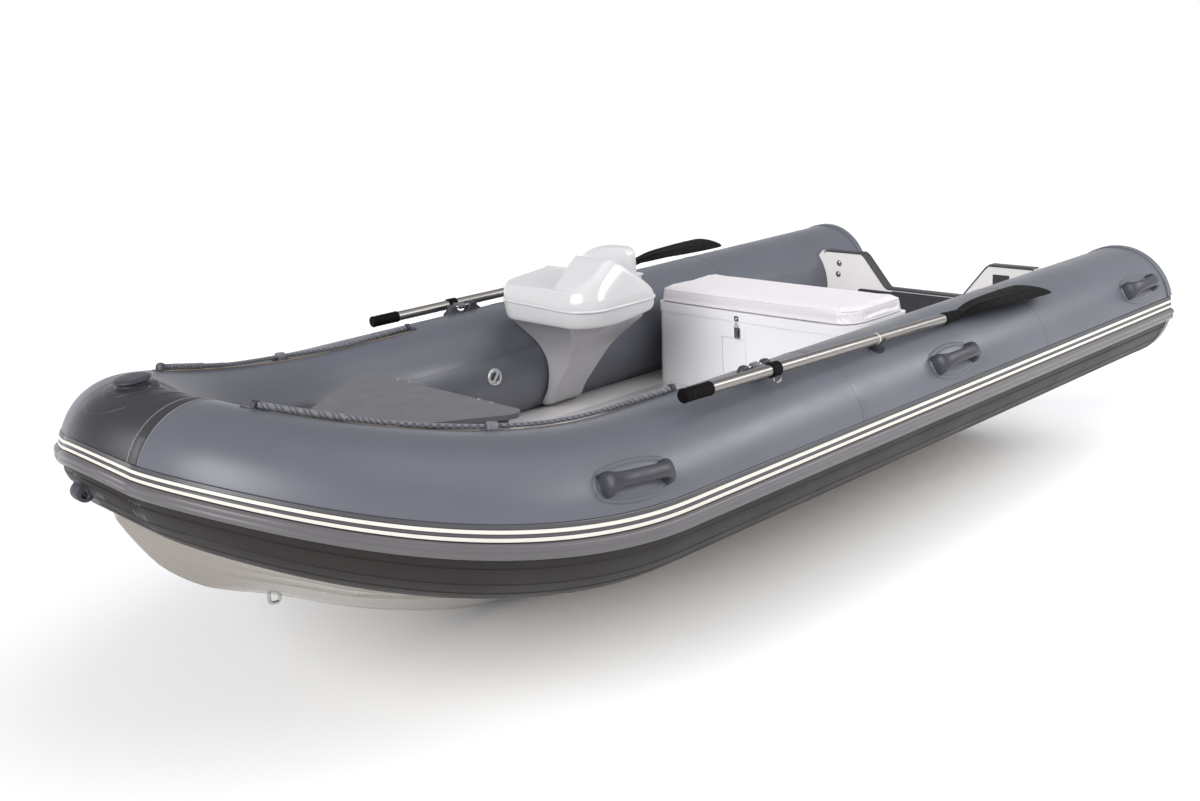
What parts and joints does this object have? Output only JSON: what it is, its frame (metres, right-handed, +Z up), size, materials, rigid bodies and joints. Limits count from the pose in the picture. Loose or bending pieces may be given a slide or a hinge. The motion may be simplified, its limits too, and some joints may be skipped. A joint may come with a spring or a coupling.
{
  "type": "rigid inflatable boat",
  "caption": "Open rigid inflatable boat with a V hull, horseshoe buoyancy tube, bench seat, side console, bow locker and stowed oars.",
  "frame": {"origin": "on the centre plane at the underside of the keel guard, 2.018 m forward of the tips of the stern caps", "axes": "+X to the bow, +Y to port, +Z up"},
  "size_m": [4.0262, 1.9074, 0.9962],
  "materials": {
    "tube_fabric": "satin coated fabric",
    "bow_fabric": "satin coated fabric",
    "rub_rail": "satin rubber",
    "hull_gelcoat": "gloss gelcoat",
    "deck_gelcoat": "gloss gelcoat",
    "white_gelcoat": "gloss gelcoat",
    "console_grey": "gloss gelcoat",
    "lid_grey": "matte",
    "cushion_vinyl": "smooth vinyl",
    "fitting_rubber": "moulded, satin",
    "black_rubber": "matte",
    "dark_pad": "matte",
    "oar_aluminium": "satin anodised",
    "oar_black": "fine texture",
    "steel": "polished",
    "valve_plastic": "satin silver-grey",
    "rope": "braided"
  },
  "bodies": {
    "boat": {"port_tube": "tube_fabric", "starboard_tube": "tube_fabric", "bow_tube": "bow_fabric", "port_stern_cap": "tube_fabric", "starboard_stern_cap": "tube_fabric", "port_rub_rail": "rub_rail", "starboard_rub_rail": "rub_rail", "bow_rub_rail": "rub_rail", "hull": "hull_gelcoat", "keel_guard": "black_rubber", "floor_deck": "deck_gelcoat", "transom": "hull_gelcoat", "motor_pads": "dark_pad", "bow_locker_box": "console_grey", "seat_box": "white_gelcoat", "seat_latch": "steel", "console_pedestal": "console_grey", "console_top": "white_gelcoat", "port_lifeline": "rope", "starboard_lifeline": "rope", "port_rope_eyes": "fitting_rubber", "starboard_rope_eyes": "fitting_rubber", "port_grab_handles": "fitting_rubber", "starboard_grab_handles": "fitting_rubber", "bow_bitt": "fitting_rubber", "tow_eye": "fitting_rubber", "keel_ubolt": "steel", "inflation_valves": "valve_plastic", "drain_plugs": "dark_pad", "port_rowlock": "fitting_rubber", "port_oar_clip": "fitting_rubber", "starboard_rowlock": "fitting_rubber", "starboard_oar_clip": "fitting_rubber"},
    "bow_locker_lid": {"bow_locker_lid": "lid_grey"},
    "seat_top": {"seat_lid": "white_gelcoat", "seat_cushion": "cushion_vinyl"},
    "port_oar": {"port_oar_shaft": "oar_aluminium", "port_oar_grip": "oar_black", "port_oar_blade": "oar_black", "port_oar_collar": "oar_black", "port_oar_arm": "steel"},
    "starboard_oar": {"starboard_oar_shaft": "oar_aluminium", "starboard_oar_grip": "oar_black", "starboard_oar_blade": "oar_black", "starboard_oar_collar": "oar_black", "starboard_oar_arm": "steel"}
  },
  "joints": [
    {"name": "bow_locker_lid_hinge", "type": "hinge", "parent": "boat", "child": "bow_locker_lid", "pos_m": [0.886, 0, 0.732], "axis": [0, -1, 0], "range_deg": [0, 95]},
    {"name": "seat_top_hinge", "type": "hinge", "parent": "boat", "child": "seat_top", "pos_m": [-0.835, 0, 0.669], "axis": [0, -1, 0], "range_deg": [0, 80]},
    {"name": "port_oar_rowlock", "type": "hinge", "parent": "boat", "child": "port_oar", "pos_m": [0.35, 0.752, 0.797], "axis": [1, 0, 0], "range_deg": [0, 75]},
    {"name": "starboard_oar_rowlock", "type": "hinge", "parent": "boat", "child": "starboard_oar", "pos_m": [0.226, -0.752, 0.788], "axis": [-1, 0, 0], "range_deg": [0, 75]}
  ]
}
